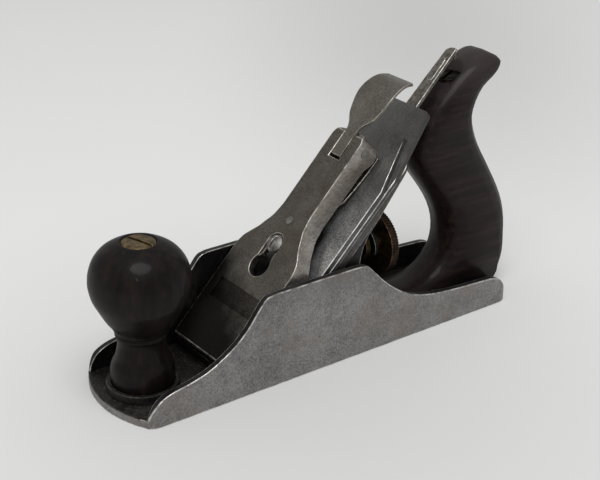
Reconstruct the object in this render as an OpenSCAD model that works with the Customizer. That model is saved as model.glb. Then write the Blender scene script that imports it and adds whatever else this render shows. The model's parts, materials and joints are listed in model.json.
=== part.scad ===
// Small iron smoothing plane, toe at -X, heel at +X, sole on z = 0.
// Sizes are in millimetres. "Along" is measured up the blade's bed from the
// cutting edge and "height" square to the bed, from the blade's upper face.

/* [Body] */
// length of the sole
sole_l = 215.4; // [195:0.1:240]
// width of the sole across the cheeks
sole_w = 54; // [52:0.5:62]
// thickness of the sole
sole_t = 4; // [3:0.1:5]
// thickness of each cheek
cheek_t = 3.2; // [2.4:0.1:4]
// height of the cheeks at the hump
cheek_h = 44.9; // [38:0.1:50]
// radius of the toe seen from above
toe_r = 48; // [44:1:90]
// radius of the heel seen from above
heel_r = 62; // [55:1:90]
// radius of the corners between the ends and the sides
corner_r = 6; // [3:0.5:10]
// position of the blade's cutting edge from the centre of the box
edge_x = -55; // [-57:0.5:-50]
// mouth opening in front of the cutting edge
mouth_front = 1.5; // [1.1:0.1:3]
// width of the mouth across the sole
mouth_w = 46; // [45.2:0.2:47]
// height of the seat that the frog stands on
seat_z = 8.5; // [7.5:0.1:9.5]
// width of the frog's seat
seat_w = 38; // [30:1:40]
// height of the cross rib in front of the mouth
rib_z = 7.5; // [5:0.1:8]

/* [Frog] */
// slope of the blade's bed in degrees
pitch = 45; // [45:1:45]
// width of the frog
frog_w = 42.6; // [38:0.2:45]
// thickness of the frog's sloping plate
frog_t = 4.6; // [4:0.1:6]
// upper end of the frog along the bed
frog_top = 123.7; // [121:0.1:126]
// thickness of the frog's base
frog_base_t = 4.5; // [3.5:0.1:6]
// rear face of the frog's legs
frog_rear_x = 9.8; // [8:0.1:11]
// rear face of the frog's side walls
frog_leg_x = 7; // [6:0.1:9]
// diameter of the two holding screws
frog_screw_d = 5.6; // [5:0.1:6.5]
// distance of each holding screw from the middle
frog_screw_y = 10; // [9:0.5:12]
// how far the frog can be moved forward from its place
frog_fwd = 1; // [0.4:0.1:1.2]
// diameter of the adjusting screw behind the frog
adj_screw_d = 5; // [4.5:0.1:5.6]
// height of the adjusting screw's axis
adj_z = 10.2; // [10:0.1:11]

/* [Depth adjustment] */
// diameter of the knurled wheel
wheel_d = 31.8; // [28:0.2:33]
// width of the wheel's rim
wheel_rim = 4; // [3:0.1:5]
// width of the groove for the fork
wheel_groove = 4.2; // [4:0.1:5]
// diameter of the threaded stud
stud_d = 6; // [5:0.1:6.4]
// height of the stud's axis
stud_z = 39.2; // [38.5:0.1:40.5]
// place of the yoke's pivot along the bed
yoke_s = 94; // [93.5:0.1:94.5]
// depth of the yoke's pivot under the blade's upper face
yoke_h = -10.3; // [-10.6:0.1:-10]
// diameter of the yoke's pivot pin
yoke_pin_d = 3; // [2.5:0.1:3.5]
// thickness of the fork in the wheel's groove
fork_t = 1.6; // [1.2:0.1:1.7]

/* [Blade and cap iron] */
// width of the blade
iron_w = 44.4; // [42:0.1:45]
// thickness of the blade
iron_t = 2.2; // [1.8:0.1:2.4]
// length of the blade
iron_l = 146.2; // [138:0.2:152]
// width of the long slot in the blade
iron_slot_w = 11.2; // [10.8:0.1:12]
// thickness of the cap iron
cap_t = 2.9; // [2.4:0.1:3]
// upper end of the cap iron along the bed
cap_top = 131; // [124:0.5:134]
// height of the arched end of the cap iron
cap_hump = 5; // [4.6:0.1:5]
// place of the cap iron's clamp screw along the bed
cap_screw_s = 78; // [77:0.5:79]

/* [Lateral adjustment] */
// place of the lever's rivet along the bed
lat_rivet_s = 115; // [114:0.5:116]
// place of the lever's disc along the bed
lat_disc_s = 102.5; // [102:0.5:103]
// diameter of the disc in the blade's slot
lat_disc_d = 8.4; // [8:0.1:8.6]
// upper end of the lever along the bed
lat_end_s = 180.6; // [170:0.2:184]
// thickness of the lever
lat_t = 1.9; // [1.5:0.1:2]

/* [Lever cap] */
// width of the lever cap's wide end
lc_w = 42.4; // [39:0.2:44]
// width of the lever cap's narrow neck
lc_neck_w = 20; // [18:0.5:22]
// height of the upper face at the nose
lc_nose_h = 15.6; // [15:0.1:16]
// height of the upper face at the cam end
lc_end_h = 18.2; // [17.8:0.1:18.6]
// thickness of the lever cap's walls
lc_wall = 2.6; // [2:0.1:3.2]
// thickness of its upper plate
lc_plate = 3.6; // [3:0.1:4]
// height of the side walls' lower edge
lc_skirt_h = 7; // [6.6:0.1:8]
// diameter of the keyhole's round end
key_hole_d = 11.3; // [10.5:0.1:12]
// place of the keyhole's round end along the bed
key_hole_s = 47.2; // [46:0.1:48]
// width of the keyhole's slot
key_slot_w = 6.4; // [6:0.1:7]
// place of the holding screw along the bed
lc_screw_s = 58.7; // [58:0.1:59.5]
// diameter of the holding screw
lc_screw_d = 5.6; // [5:0.1:5.8]
// diameter of the holding screw's domed head
lc_head_d = 8.4; // [8:0.1:9]

/* [Cam lever] */
// place of the cam's pin along the bed
cam_s = 113.6; // [113.2:0.1:114]
// height of the cam's pin
cam_h = 12.3; // [12.2:0.1:12.4]
// diameter of the cam's pin
cam_pin_d = 4.5; // [4:0.1:5]
// width of the cam lever's arm
cam_w = 6.4; // [5.5:0.1:7]
// thickness of the thumb piece
thumb_t = 1.3; // [1:0.1:1.8]
// width of the leaf spring
spring_w = 12; // [9:0.5:13]
// width of the spring's free end under the cam
spring_end_w = 19.2; // [14:0.2:19.6]
// thickness of the leaf spring
spring_t = 0.9; // [0.7:0.05:1.1]

/* [Front knob] */
// position of the knob's axis
knob_x = -94.2; // [-95:0.1:-92]
// diameter of the knob's ball
knob_d = 43.4; // [38:0.2:46]
// height of the ball's widest ring
knob_ball_z = 55.4; // [54:0.1:57]
// top of the knob
knob_top_z = 72.8; // [71:0.1:74]
// diameter of the knob's neck
knob_neck_d = 20.8; // [19:0.2:22]
// diameter of the knob's foot
knob_foot_d = 27.8; // [26:0.2:30]
// height of the round boss that holds the knob's foot
knob_boss_z = 8; // [7:0.1:8.5]
// diameter of the bolt through the knob
knob_bolt_d = 5.5; // [5:0.1:6]
// diameter of the brass nut's head
knob_nut_d = 14.6; // [12:0.2:15]

/* [Rear handle] */
// thickness of the handle
tote_w = 23; // [20:0.5:26]
// diameter of the bolt through the handle
tote_bolt_d = 5.5; // [5:0.1:6]
// lean of the bolt from upright, in degrees
tote_lean = 4.5; // [3.5:0.5:5.5]
// foot of the bolt in the bed
tote_bolt_x = 82.4; // [81.5:0.1:83.5]
// diameter of the handle's brass nut
tote_nut_d = 12; // [11:0.5:13]

/* [Fits] */
// clearance of a sliding or turning shaft in its hole
run_fit = 0.1; // [0.06:0.02:0.15]
// clearance of a bolt in a wooden bore
wood_fit = 0.35; // [0.2:0.05:0.5]
// clearance between two parts that slide past each other
slide_fit = 0.35; // [0.3:0.05:0.5]

/* [Hidden] */
$fn = 64;
toe_x = -sole_l/2 - 6.2;
heel_x = toe_x + sole_l;
side_y = sole_w/2;
wall_y = side_y - cheek_t;
corner_y = side_y - corner_r;
function end_run(r) = sqrt(pow(r - corner_r, 2) - pow(corner_y, 2));
bed_under = -iron_t;
plate_under = bed_under - frog_t;
frog_y = frog_w/2;
mouth_back = (iron_t + 0.75)*sqrt(2);
frog_floor = seat_z + frog_base_t;
frog_front_x = edge_x + (seat_z - bed_under*sqrt(2));
yoke_x = edge_x + (yoke_s - yoke_h)*sqrt(0.5);
yoke_z = (yoke_s + yoke_h)*sqrt(0.5);
groove_x = 27;
hub_front_x = groove_x - wheel_groove/2 - 2.4;
rim_x = groove_x + wheel_groove/2 + 1.4;
wheel_rear_x = rim_x + wheel_rim;
boss_x = hub_front_x - 4.2;
iron_y = iron_w/2;
lc_y = lc_w/2;
lc_neck_y = lc_neck_w/2;
lc_slope = (lc_end_h - lc_nose_h)/117.4;
// the piece that is drawn, or "all"

// one point of a smooth curve between b and c
function curve_at(a, b, c, d, t) =
    0.5*(2*b + (c - a)*t + (2*a - 5*b + 4*c - d)*t*t
    + (3*b - a - 3*c + d)*t*t*t);
// a smooth open curve through the points p, n steps to each stretch
function curve(p, n) = [
    for (i = [0:len(p) - 2]) for (k = [0:n - 1])
        curve_at(p[max(i - 1, 0)], p[i], p[i + 1], p[min(i + 2, len(p) - 1)], k/n),
    p[len(p) - 1]];
// a smooth closed curve through the points p
function loop(p, n) = [
    for (i = [0:len(p) - 1]) for (k = [0:n - 1])
        curve_at(p[(i + len(p) - 1)%len(p)], p[i], p[(i + 1)%len(p)],
            p[(i + 2)%len(p)], k/n)];
// points of an arc
function arc(cx, cy, r, a0, a1, n) = [
    for (k = [0:n]) [cx + r*cos(a0 + (a1 - a0)*k/n), cy + r*sin(a0 + (a1 - a0)*k/n)]];
// the points of p in reverse with the sign of y changed
function mirrored(p) = [for (i = [len(p) - 1:-1:0]) [p[i][0], -p[i][1]]];
// unit direction at point i of an open curve
function run(p, i) = let (v = p[min(i + 1, len(p) - 1)] - p[max(i - 1, 0)]) v/norm(v);
// an open curve moved to its right by t
function beside(p, t) = [for (i = [0:len(p) - 1]) p[i] + t*[run(p, i)[1], -run(p, i)[0]]];
// a strip of thickness t along an open curve
function strip(p, t) = concat(p, let (q = beside(p, t)) [for (i = [len(q) - 1:-1:0]) q[i]]);

// puts children on the blade's bed: x runs up the slope, z stands square to it
module on_bed() {
    translate([edge_x, 0, 0]) rotate([0, -pitch, 0]) children();
}
// puts a side view drawn in (x, z) across the plane, y0 to y1
module across(y0, y1) {
    translate([0, y1, 0]) rotate([90, 0, 0]) linear_extrude(y1 - y0) children();
}
// a bar with rounded ends lying along x in a flat drawing
module slot2d(x0, x1, w) {
    translate([x0, -w/2]) square([x1 - x0, w]);
    translate([x0, 0]) circle(w/2);
    translate([x1, 0]) circle(w/2);
}

// one rounded end of the sole, its middle at x and its radius r; s is -1 at the toe
module end_plan(x, r, s) {
    run = end_run(r);
    k = r*1.2/run;
    intersection() {
        translate([x - s*r, 0]) circle(r, $fn = 128);
        polygon([[x - s*r, 0], [x - s*(r - run*k), corner_y*k], [x - s*(r - run*k), -corner_y*k]]);
    }
    for (t = [-1, 1]) translate([x - s*(r - run), t*corner_y]) circle(corner_r);
}

// sole seen from above
module sole_plan() {
    cx = toe_x + toe_r - end_run(toe_r);
    dx = heel_x - heel_r + end_run(heel_r);
    translate([cx, -side_y]) square([dx - cx, sole_w]);
    end_plan(toe_x, toe_r, -1);
    end_plan(heel_x, heel_r, 1);
}

// side view of the body with the hump of the cheeks
module cheek_view() {
    h = cheek_h;
    top = [[-107.2, 3], [-105.6, 7.6], [-102.6, 11.6], [-97, 14.3], [-88, 16],
        [-79, 18.3], [-71.5, 21.9], [-64.5, 26.4], [-58.3, 32.2],
        [-53.4, 38.5], [-49.2, h - 1.5], [-46, h - 0.3], [-41, h],
        [-20, h - 0.1], [-4, h - 0.2], [1.5, h - 0.3], [5.1, h - 0.7], [7.4, h - 1.7],
        [12, 38.5], [17.5, 32.9], [24.5, 27.2], [31.5, 22.9], [38.5, 20.2],
        [47, 18.2], [58, 16.8], [70, 15.9], [80, 15.3], [86, 14.7],
        [90.6, 12.9], [94.2, 9.1], [96.6, 3]];
    polygon(concat([[-107.2, 0]], curve(top, 5), [[96.6, 0]]));
    translate([toe_x - 1, 0]) square([sole_l + 2, sole_t]);
}

module plane_body() {
    color([0.45, 0.44, 0.43])
    difference() {
        union() {
            difference() {
                intersection() {
                    linear_extrude(60) sole_plan();
                    across(-side_y - 1, side_y + 1) cheek_view();
                }
                translate([toe_x - 1, -wall_y, sole_t]) cube([sole_l + 2, 2*wall_y, 60]);
            }
            // frog seat, its middle rib, cross rib and the bosses of the handles
            translate([edge_x - 1, -seat_w/2, 1]) cube([7 - edge_x, seat_w, seat_z - 1]);
            translate([-14, -4, 1]) cube([20, 8, adj_z + 4.2 - 1]);
            translate([edge_x - 7.5, -wall_y - 1, 1]) cube([5, 2*wall_y + 2, rib_z - 1]);
            translate([knob_x, 0, 1]) cylinder(d = knob_foot_d + 3.8, h = knob_boss_z - 1);
            translate([tote_bolt_x - 1, 0, 1]) intersection() {
                cylinder(d = 13, h = sole_t + 0.6);
                translate([-8, -6, 0]) cube([16, 12, 10]);
            }
            translate([34, -3, 1]) cube([10, 6, sole_t + 1.2]);
        }
        // mouth through the sole, sloping like the bed behind
        across(-mouth_w/2, mouth_w/2) polygon([[edge_x - mouth_front, -1],
            [edge_x - mouth_front, 20], [edge_x + 20 + mouth_back, 20],
            [edge_x - 1 + mouth_back, -1]]);
        // recess that holds the knob's foot and the threaded hole of its bolt
        translate([knob_x, 0, knob_boss_z - 1.6])
            cylinder(d = knob_foot_d - 1.2 + 2*wood_fit, h = 5);
        translate([knob_x, 0, 1.2]) cylinder(d = knob_bolt_d, h = 10);
        // threaded holes of the frog's screws and of the adjusting screw
        for (s = [-1, 1]) translate([-12, s*frog_screw_y, 1.2]) cylinder(d = frog_screw_d, h = 10);
        translate([-9, 0, adj_z]) rotate([0, 90, 0]) cylinder(d = adj_screw_d + 2*run_fit, h = 20);
        // threaded hole of the handle's bolt
        translate([tote_bolt_x, 0, sole_t]) rotate([0, -tote_lean, 0])
            translate([0, 0, -2.6]) cylinder(d = tote_bolt_d, h = 10);
        // cast pockets between the seats
        translate([-36, -15, sole_t + 0.5]) cube([15, 30, 10]);
    }
}

module frog() {
    x = frog_leg_x;
    rear = curve([[x, 38], [x + 0.1, 42.8], [x + 0.8, 46.8], [x + 2.2, 51],
        [x + 5, 55.6], [x + 10.7, 61.9]], 4);
    color([0.16, 0.155, 0.15])
    difference() {
        union() {
            // sloping plate with rounded ears at its upper corners
            on_bed() difference() {
                translate([0, 0, plate_under]) linear_extrude(frog_t) union() {
                    translate([0, -frog_y]) square([frog_top - 6, frog_w]);
                    translate([0, -frog_y + 6]) square([frog_top, frog_w - 12]);
                    for (s = [-1, 1]) translate([frog_top - 6, s*(frog_y - 6)]) circle(6);
                }
                // recess of the lateral lever
                translate([lat_disc_s - 5.4, -6.3, bed_under - lat_t - 0.7])
                    cube([60, 12.6, 10]);
                // the plate thins towards its upper side edges
                for (s = [-1, 1]) translate([0, s*17, 0]) across(-4.6, 4.6)
                    polygon([[97, plate_under - 1], [97, plate_under], [frog_top + 1, bed_under - 1.2],
                        [frog_top + 1, plate_under - 1]]);
            }
            // side walls
            for (y0 = [-frog_y + 0.4, frog_y - 3.6]) across(y0, y0 + 3.2)
                polygon(concat([[frog_front_x + 3, seat_z - 2], [x, seat_z - 2]], rear,
                    [[x + 12, 64.5], [x + 8, 63.5], [-38, 13.2]]));
            // base and middle web
            translate([frog_front_x + 2, -frog_y + 0.8, seat_z - 1])
                cube([frog_rear_x - frog_front_x - 2, frog_w - 1.6, frog_base_t + 1]);
            across(-3, 3) polygon([[-30, frog_floor - 1], [frog_rear_x, frog_floor - 1],
                [frog_rear_x, 28], [boss_x - 2, 34], [boss_x - 2, 42], [2, 45]]);
            translate([-8, 0, stud_z]) rotate([0, 90, 0]) cylinder(d = 14, h = boss_x + 8);
            // lugs of the yoke's pivot
            on_bed() for (s = [-1, 1]) translate([yoke_s, s*5.2 + 1.6, yoke_h])
                rotate([90, 0, 0]) linear_extrude(3.2) union() {
                    circle(4);
                    translate([-4, 0]) square([8, 5]);
                }
            // threaded boss of the lever cap's screw
            on_bed() translate([lc_screw_s, 0, -15]) cylinder(d = 12, h = 10);
            // pad that carries the adjusting plate
            translate([frog_rear_x - 3, -8, frog_floor - 1]) cube([4.4, 16, 12]);
        }
        // nothing below the seat or in front of the bed's face
        translate([-100, -40, -30]) cube([200, 80, 30 + seat_z]);
        on_bed() translate([-50, -40, bed_under]) cube([300, 80, 60]);
        // channel over the body's middle rib and the adjusting screw
        translate([-16.5, -4.6, seat_z - 1]) cube([40, 9.2, adj_z + 5 - seat_z + 1]);
        // slots of the holding screws
        for (s = [-1, 1]) translate([-12, s*frog_screw_y, seat_z - 1])
            linear_extrude(10) slot2d(-frog_fwd - 0.2, frog_fwd + 0.2, frog_screw_d + 0.8);
        // threaded holes of the stud, the plate's screw and the lever cap's screw
        translate([boss_x - 14, 0, stud_z]) rotate([0, 90, 0]) cylinder(d = stud_d, h = 30);
        translate([frog_rear_x - 6, 0, frog_floor + 7]) rotate([0, 90, 0])
            cylinder(d = 3.2, h = 20);
        on_bed() {
            translate([lc_screw_s, 0, -16]) cylinder(d = lc_screw_d + 2*run_fit, h = 20);
            // window of the cap iron's screw and opening of the yoke
            translate([cap_screw_s - 9.4, -9, plate_under - 1]) cube([18.8, 18, 20]);
            translate([yoke_s - 4.4, -3.6, plate_under - 1]) cube([8.2, 7.2, 20]);
            // room for the yoke's swing behind the plate
            translate([yoke_s - 8.5, -3.6, -30]) cube([18, 7.2, 23]);
            translate([lat_rivet_s, 0, -20]) cylinder(d = 4, h = 30);
            translate([yoke_s, 10, yoke_h]) rotate([90, 0, 0]) cylinder(d = yoke_pin_d, h = 20);
        }
    }
}

module frog_screw(s) {
    color([0.38, 0.37, 0.35])
    translate([-12, s*frog_screw_y, 0]) difference() {
        union() {
            translate([0, 0, 1.6]) cylinder(d = frog_screw_d, h = frog_floor + 1.4 - 1.6);
            translate([0, 0, frog_floor + 1.2]) cylinder(d = 9.4, h = 2);
            translate([0, 0, frog_floor + 3.2]) cylinder(d1 = 9.4, d2 = 7.4, h = 0.9);
        }
        translate([-6, -0.7, frog_floor + 2.6]) cube([12, 1.4, 3]);
    }
}
module frog_screw_left() { frog_screw(-1); }
module frog_screw_right() { frog_screw(1); }

module frog_washer(s) {
    color([0.42, 0.41, 0.39])
    translate([-12, s*frog_screw_y, frog_floor]) difference() {
        cylinder(d = 11.4, h = 1.2);
        translate([0, 0, -1]) cylinder(d = frog_screw_d, h = 4);
    }
}
module frog_washer_left() { frog_washer(-1); }
module frog_washer_right() { frog_washer(1); }

module frog_adjusting_plate() {
    x0 = frog_rear_x + 1.4;
    color([0.36, 0.35, 0.34])
    translate([x0, 0, 0]) rotate([90, 0, 90]) linear_extrude(1.3) difference() {
        union() {
            translate([-5.5, 6.2]) square([11, frog_floor + 6.8 - 6.2]);
            translate([0, frog_floor + 6.8]) circle(5.5);
        }
        translate([0, adj_z]) circle(2.9);
        translate([-2.9, 0]) square([5.8, adj_z]);
        translate([0, frog_floor + 7]) circle(1.6);
    }
}

module frog_plate_screw() {
    x0 = frog_rear_x + 2.7;
    color([0.4, 0.39, 0.37])
    translate([x0, 0, frog_floor + 7]) rotate([0, 90, 0]) difference() {
        union() {
            translate([0, 0, -7]) cylinder(d = 3.2, h = 7.2);
            cylinder(d = 6.4, h = 1.3);
            translate([0, 0, 1.3]) cylinder(d1 = 6.4, d2 = 4.8, h = 0.6);
        }
        translate([-4, -0.5, 0.9]) cube([8, 1, 3]);
    }
}

module frog_adjusting_screw() {
    color([0.4, 0.39, 0.37])
    translate([0, 0, adj_z]) rotate([0, 90, 0]) difference() {
        union() {
            translate([0, 0, -7]) cylinder(d = adj_screw_d, h = 24);
            translate([0, 0, frog_rear_x + 0.3]) cylinder(d = 9, h = 1);
            translate([0, 0, frog_rear_x + 2.8]) cylinder(d = 9, h = 2.6);
            translate([0, 0, frog_rear_x + 5.4]) cylinder(d1 = 9, d2 = 7.4, h = 0.8);
        }
        translate([-6, -0.7, frog_rear_x + 4.6]) cube([12, 1.4, 20]);
        translate([0, 0, frog_rear_x + 6.2]) cylinder(d = 12, h = 20);
    }
}

module yoke() {
    color([0.2, 0.195, 0.19])
    difference() {
        union() {
            // tongue that reaches through the blade's slot
            on_bed() {
                translate([yoke_s - 2.3, -3, yoke_h]) cube([4.6, 6, 11.2 - yoke_h - 10.4]);
                translate([yoke_s, 3, 11.2 - 10.4 + 0.1]) rotate([90, 0, 0])
                    cylinder(d = 4.6, h = 6);
                translate([yoke_s, 3, yoke_h]) rotate([90, 0, 0]) cylinder(d = 6.6, h = 6);
            }
            // arm and fork
            across(-3, 3) polygon([[yoke_x - 1.6, yoke_z - 2.6], [yoke_x + 2, yoke_z + 2.6],
                [groove_x + fork_t/2, stud_z + 10.4], [groove_x + fork_t/2, stud_z + 8],
                [groove_x - fork_t/2, stud_z + 8]]);
            translate([groove_x - fork_t/2, 0, 0]) rotate([90, 0, 90]) linear_extrude(fork_t)
                difference() {
                    union() {
                        translate([0, stud_z]) circle(8.6);
                        translate([-3, stud_z]) square([6, 10.4]);
                    }
                    translate([0, stud_z]) circle(5);
                    translate([-5, stud_z - 12]) square([10, 12]);
                    translate([-12, stud_z - 14]) square([24, 11]);
                }
        }
        on_bed() translate([yoke_s, 10, yoke_h]) rotate([90, 0, 0])
            cylinder(d = yoke_pin_d + 2*run_fit, h = 20);
    }
}

module yoke_pin() {
    color([0.5, 0.49, 0.47])
    on_bed() translate([yoke_s, 6.8, yoke_h]) rotate([90, 0, 0])
        cylinder(d = yoke_pin_d, h = 13.6);
}

module depth_stud() {
    color([0.45, 0.44, 0.42])
    translate([boss_x - 12, 0, stud_z]) rotate([0, 90, 0]) union() {
        cylinder(d = stud_d, h = wheel_rear_x + 3 - boss_x + 12);
        translate([0, 0, wheel_rear_x + 3 - boss_x + 12]) cylinder(d1 = stud_d, d2 = 4.4, h = 0.9);
    }
}

// outline of the knurled rim
function knurl(r, depth, n) = [for (i = [0:2*n - 1]) let (q = r - (i%2)*depth)
    [q*cos(i*180/n), q*sin(i*180/n)]];

module depth_wheel() {
    color([0.62, 0.5, 0.25])
    translate([0, 0, stud_z]) rotate([0, 90, 0]) difference() {
        union() {
            translate([0, 0, hub_front_x]) cylinder(d = 13.6, h = 2.4);
            translate([0, 0, hub_front_x]) cylinder(d = 9.2, h = rim_x - hub_front_x + 1);
            translate([0, 0, groove_x + wheel_groove/2])
                cylinder(d1 = 13.6, d2 = 17, h = 1.4);
            translate([0, 0, rim_x]) linear_extrude(wheel_rim) polygon(knurl(wheel_d/2, 0.5, 72));
        }
        translate([0, 0, hub_front_x - 1]) cylinder(d = stud_d + 2*run_fit, h = 30);
        translate([0, 0, wheel_rear_x - 1]) difference() {
            cylinder(d = wheel_d - 6, h = 3);
            translate([0, 0, -1]) cylinder(d = 11.5, h = 5);
        }
    }
}

module lateral_lever() {
    z0 = bed_under - lat_t - 0.5;
    color([0.46, 0.45, 0.43])
    on_bed() {
        difference() {
            translate([0, 0, z0]) linear_extrude(lat_t) union() {
                translate([lat_disc_s, 0]) circle(4.6);
                polygon([[lat_disc_s, -4.2], [lat_rivet_s, -4.6], [lat_rivet_s + 20, -3.9],
                    [162, -3.2], [lat_end_s - 1, -2.9], [lat_end_s, -2.1],
                    [lat_end_s - 0.4, 0.4], [lat_end_s - 2.2, 2.6], [162, 3.2],
                    [lat_rivet_s + 20, 3.9], [lat_rivet_s, 4.6], [lat_disc_s, 4.2]]);
            }
            translate([lat_rivet_s, 0, -20]) cylinder(d = 4 + 2*run_fit, h = 30);
            translate([lat_disc_s, 0, -20]) cylinder(d = 2.6, h = 30);
        }
        // finger tab turned down at the end
        translate([lat_end_s - 4.1, -2.2, z0 - 2.6]) cube([1.9, 4.4, 3]);
        // raised bare oval
        translate([0, 0, z0 + lat_t - 0.1]) linear_extrude(0.5) slot2d(163, 172.4, 3.4);
    }
}

module lateral_rivet() {
    z0 = bed_under - lat_t - 0.5;
    color([0.5, 0.49, 0.47])
    on_bed() translate([lat_rivet_s, 0, plate_under - 1]) union() {
        cylinder(d = 4, h = z0 + lat_t - plate_under + 1);
        cylinder(d = 6.6, h = 0.9);
        translate([0, 0, z0 + lat_t - plate_under + 1]) cylinder(d1 = 6.4, d2 = 5.4, h = 0.45);
    }
}

module lateral_disc() {
    z0 = bed_under - 0.5;
    color([0.5, 0.49, 0.47])
    on_bed() translate([lat_disc_s, 0, 0]) union() {
        translate([0, 0, z0]) cylinder(d = lat_disc_d, h = 2.2);
        translate([0, 0, z0 - lat_t]) cylinder(d = 2.6, h = lat_t + 0.1);
    }
}

// blade seen square to its face
module iron_plan() {
    half = concat([[0, iron_y], [111, iron_y], [iron_l - 3.4, 15.8]],
        arc(iron_l - 2.9, 12.6, 3.1, 78, 0, 6));
    polygon(concat(half, mirrored(half)));
}

module plane_iron() {
    color([0.44, 0.44, 0.45])
    on_bed() translate([0.2, 0, 0]) difference() {
        intersection() {
            translate([0, 0, -iron_t]) linear_extrude(iron_t) iron_plan();
            across(-40, 40) polygon([[0, 0], [4.8, -iron_t], [200, -iron_t], [200, 0]]);
        }
        translate([0, 0, -10]) linear_extrude(20) union() {
            slot2d(45, 108, iron_slot_w);
            translate([110, 0]) circle(8);
        }
    }
}

// cap iron seen square to its face
module cap_plan() {
    half = concat([[0, iron_y], [103.5, iron_y], [cap_top - 2.6, 14.9]],
        arc(cap_top - 2.4, 12.4, 2.4, 76, 0, 5));
    polygon(concat(half, mirrored(half)));
}

module cap_iron() {
    h = cap_hump;
    top = curve([[36, cap_t], [27, cap_t + 0.05], [20, cap_t + 0.5], [13.5, h - 0.5],
        [8.5, h], [5, h - 0.5], [2.7, h - 2.3], [1.6, h - 4.3]], 5);
    low = curve([[2.2, 0], [3.6, h - 3.3], [6.8, h - 2.2], [11, h - 2.6],
        [16, 1.1], [21, 0.2], [26, 0]], 5);
    color([0.42, 0.42, 0.43])
    on_bed() difference() {
        intersection() {
            linear_extrude(10) cap_plan();
            across(-40, 40) polygon(concat([[200, cap_t]], top, [[1.6, 0]], low, [[200, 0]]));
        }
        translate([0, 0, -1]) linear_extrude(12) union() {
            slot2d(55.4, 62.4, 10.4);
            translate([yoke_s - 2.75, -3.5]) square([5.5, 7]);
            translate([cap_screw_s, 0]) circle(3);
        }
    }
}

module cap_iron_screw() {
    color([0.45, 0.45, 0.45])
    on_bed() translate([cap_screw_s, 0, -iron_t - 3]) difference() {
        union() {
            cylinder(d = 14.6, h = 3);
            translate([0, 0, 2.9]) cylinder(d = 6, h = iron_t + cap_t + 0.1 - 0.4);
        }
        translate([-8, -0.8, -1]) cube([16, 1.6, 2.4]);
    }
}

// lever cap seen square to the bed, drawn from the nose to the cam end
function lc_half() = concat([[1, lc_y], [44, lc_y]],
    curve([[50, lc_y], [54.4, lc_y - 1.1], [58, lc_y - 3.3], [61.7, lc_y - 6],
        [65.4, lc_neck_y + 3.3], [69.7, lc_neck_y + 1.3], [76, lc_neck_y + 0.1],
        [80, lc_neck_y]], 5), [[cam_s, lc_neck_y]]);

module lever_cap() {
    outer = concat(lc_half(), arc(cam_s + 0.8, lc_neck_y - 6.3, 6.3, 90, 0, 8));
    inner = concat([[9.6, lc_y - lc_wall]], beside(lc_half(), lc_wall),
        [[140, lc_neck_y - lc_wall]]);
    tip = 7.2;
    // side view of the walls' rounded lobe round the pin
    lobe = arc(cam_s, cam_h, 7.3, 52, -116, 14);
    s1 = 126;
    color([0.36, 0.34, 0.31])
    on_bed() difference() {
        union() {
            intersection() {
                linear_extrude(30) polygon(concat(outer, mirrored(outer)));
                across(-40, 40) polygon(concat([[1, lc_nose_h - 0.9], [2, lc_nose_h]],
                    lobe, [[cam_s - 6, lc_skirt_h], [14, lc_skirt_h],
                    [9.6, cap_hump + 0.03], [tip, cap_hump + 0.03], [4.6, 8]]));
            }
        }
        // hollow underside with a boss for the spring's rivet
        intersection() {
            linear_extrude(30) polygon([for (p = concat(inner, mirrored(inner)))
                [max(p[0], 9.6), p[1]]]);
            across(-40, 40) polygon([[0, -2], [0, lc_nose_h - lc_plate],
                [s1, lc_end_h - lc_plate], [s1, -2]]);
            difference() {
                translate([9.6, -30, -5]) cube([150, 60, 40]);
                translate([lc_screw_s + 12.2, 0, 10.2]) cylinder(d = 7, h = 40);
            }
        }
        // keyhole
        translate([0, 0, -1]) linear_extrude(40) union() {
            translate([key_hole_s, 0]) circle(d = key_hole_d);
            slot2d(key_hole_s, lc_screw_s + 0.4, key_slot_w);
        }
        // sunk bearing for the screw's head beside the slot
        translate([0, 0, lc_nose_h + lc_screw_s*lc_slope - 1]) linear_extrude(10)
            slot2d(key_hole_s, lc_screw_s + 0.4, lc_head_d + 0.6);
        // sunk bare panel
        translate([24.2, -15.5, lc_nose_h + 29*lc_slope - 0.7]) rotate([0, -atan(lc_slope), 0])
            cube([9.8, 31, 5]);
        // slot of the cam lever and bore of its pin
        translate([105, -cam_w/2 - slide_fit, -2]) cube([40, cam_w + 2*slide_fit, 40]);
        translate([cam_s, 30, cam_h]) rotate([90, 0, 0]) cylinder(d = cam_pin_d, h = 60);
        // rivet hole of the spring
        translate([lc_screw_s + 12.2, 0, 0]) cylinder(d = 3.8, h = 40);
    }
}

module lever_cap_spring() {
    // upper face of the spring, falling from the rivet to the cam
    line = concat([[66, 10.2]], curve([[75, 10.2], [81, 8], [95, 5.3], [106, 4.2],
        [111, 4.05], [116.5, 4.05]], 4));
    w = spring_w/2;
    e = spring_end_w/2;
    color([0.55, 0.55, 0.54])
    on_bed() difference() {
        intersection() {
            across(-12, 12) polygon(strip(line, spring_t));
            linear_extrude(20) polygon([[60, -w], [84, -w], [91, -e], [130, -e],
                [130, e], [91, e], [84, w], [60, w]]);
        }
        translate([lc_screw_s + 12.2, 0, -2]) cylinder(d = 3.8, h = 30);
    }
}

module spring_rivet() {
    top = lc_nose_h + 70.9*lc_slope;
    color([0.5, 0.48, 0.45])
    on_bed() translate([lc_screw_s + 12.2, 0, 0]) union() {
        translate([0, 0, 10.2 - spring_t - 1]) cylinder(d = 6, h = 1);
        translate([0, 0, 10.2 - spring_t]) cylinder(d = 3.8, h = top - 10.2 + spring_t + 0.1);
    }
}

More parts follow.
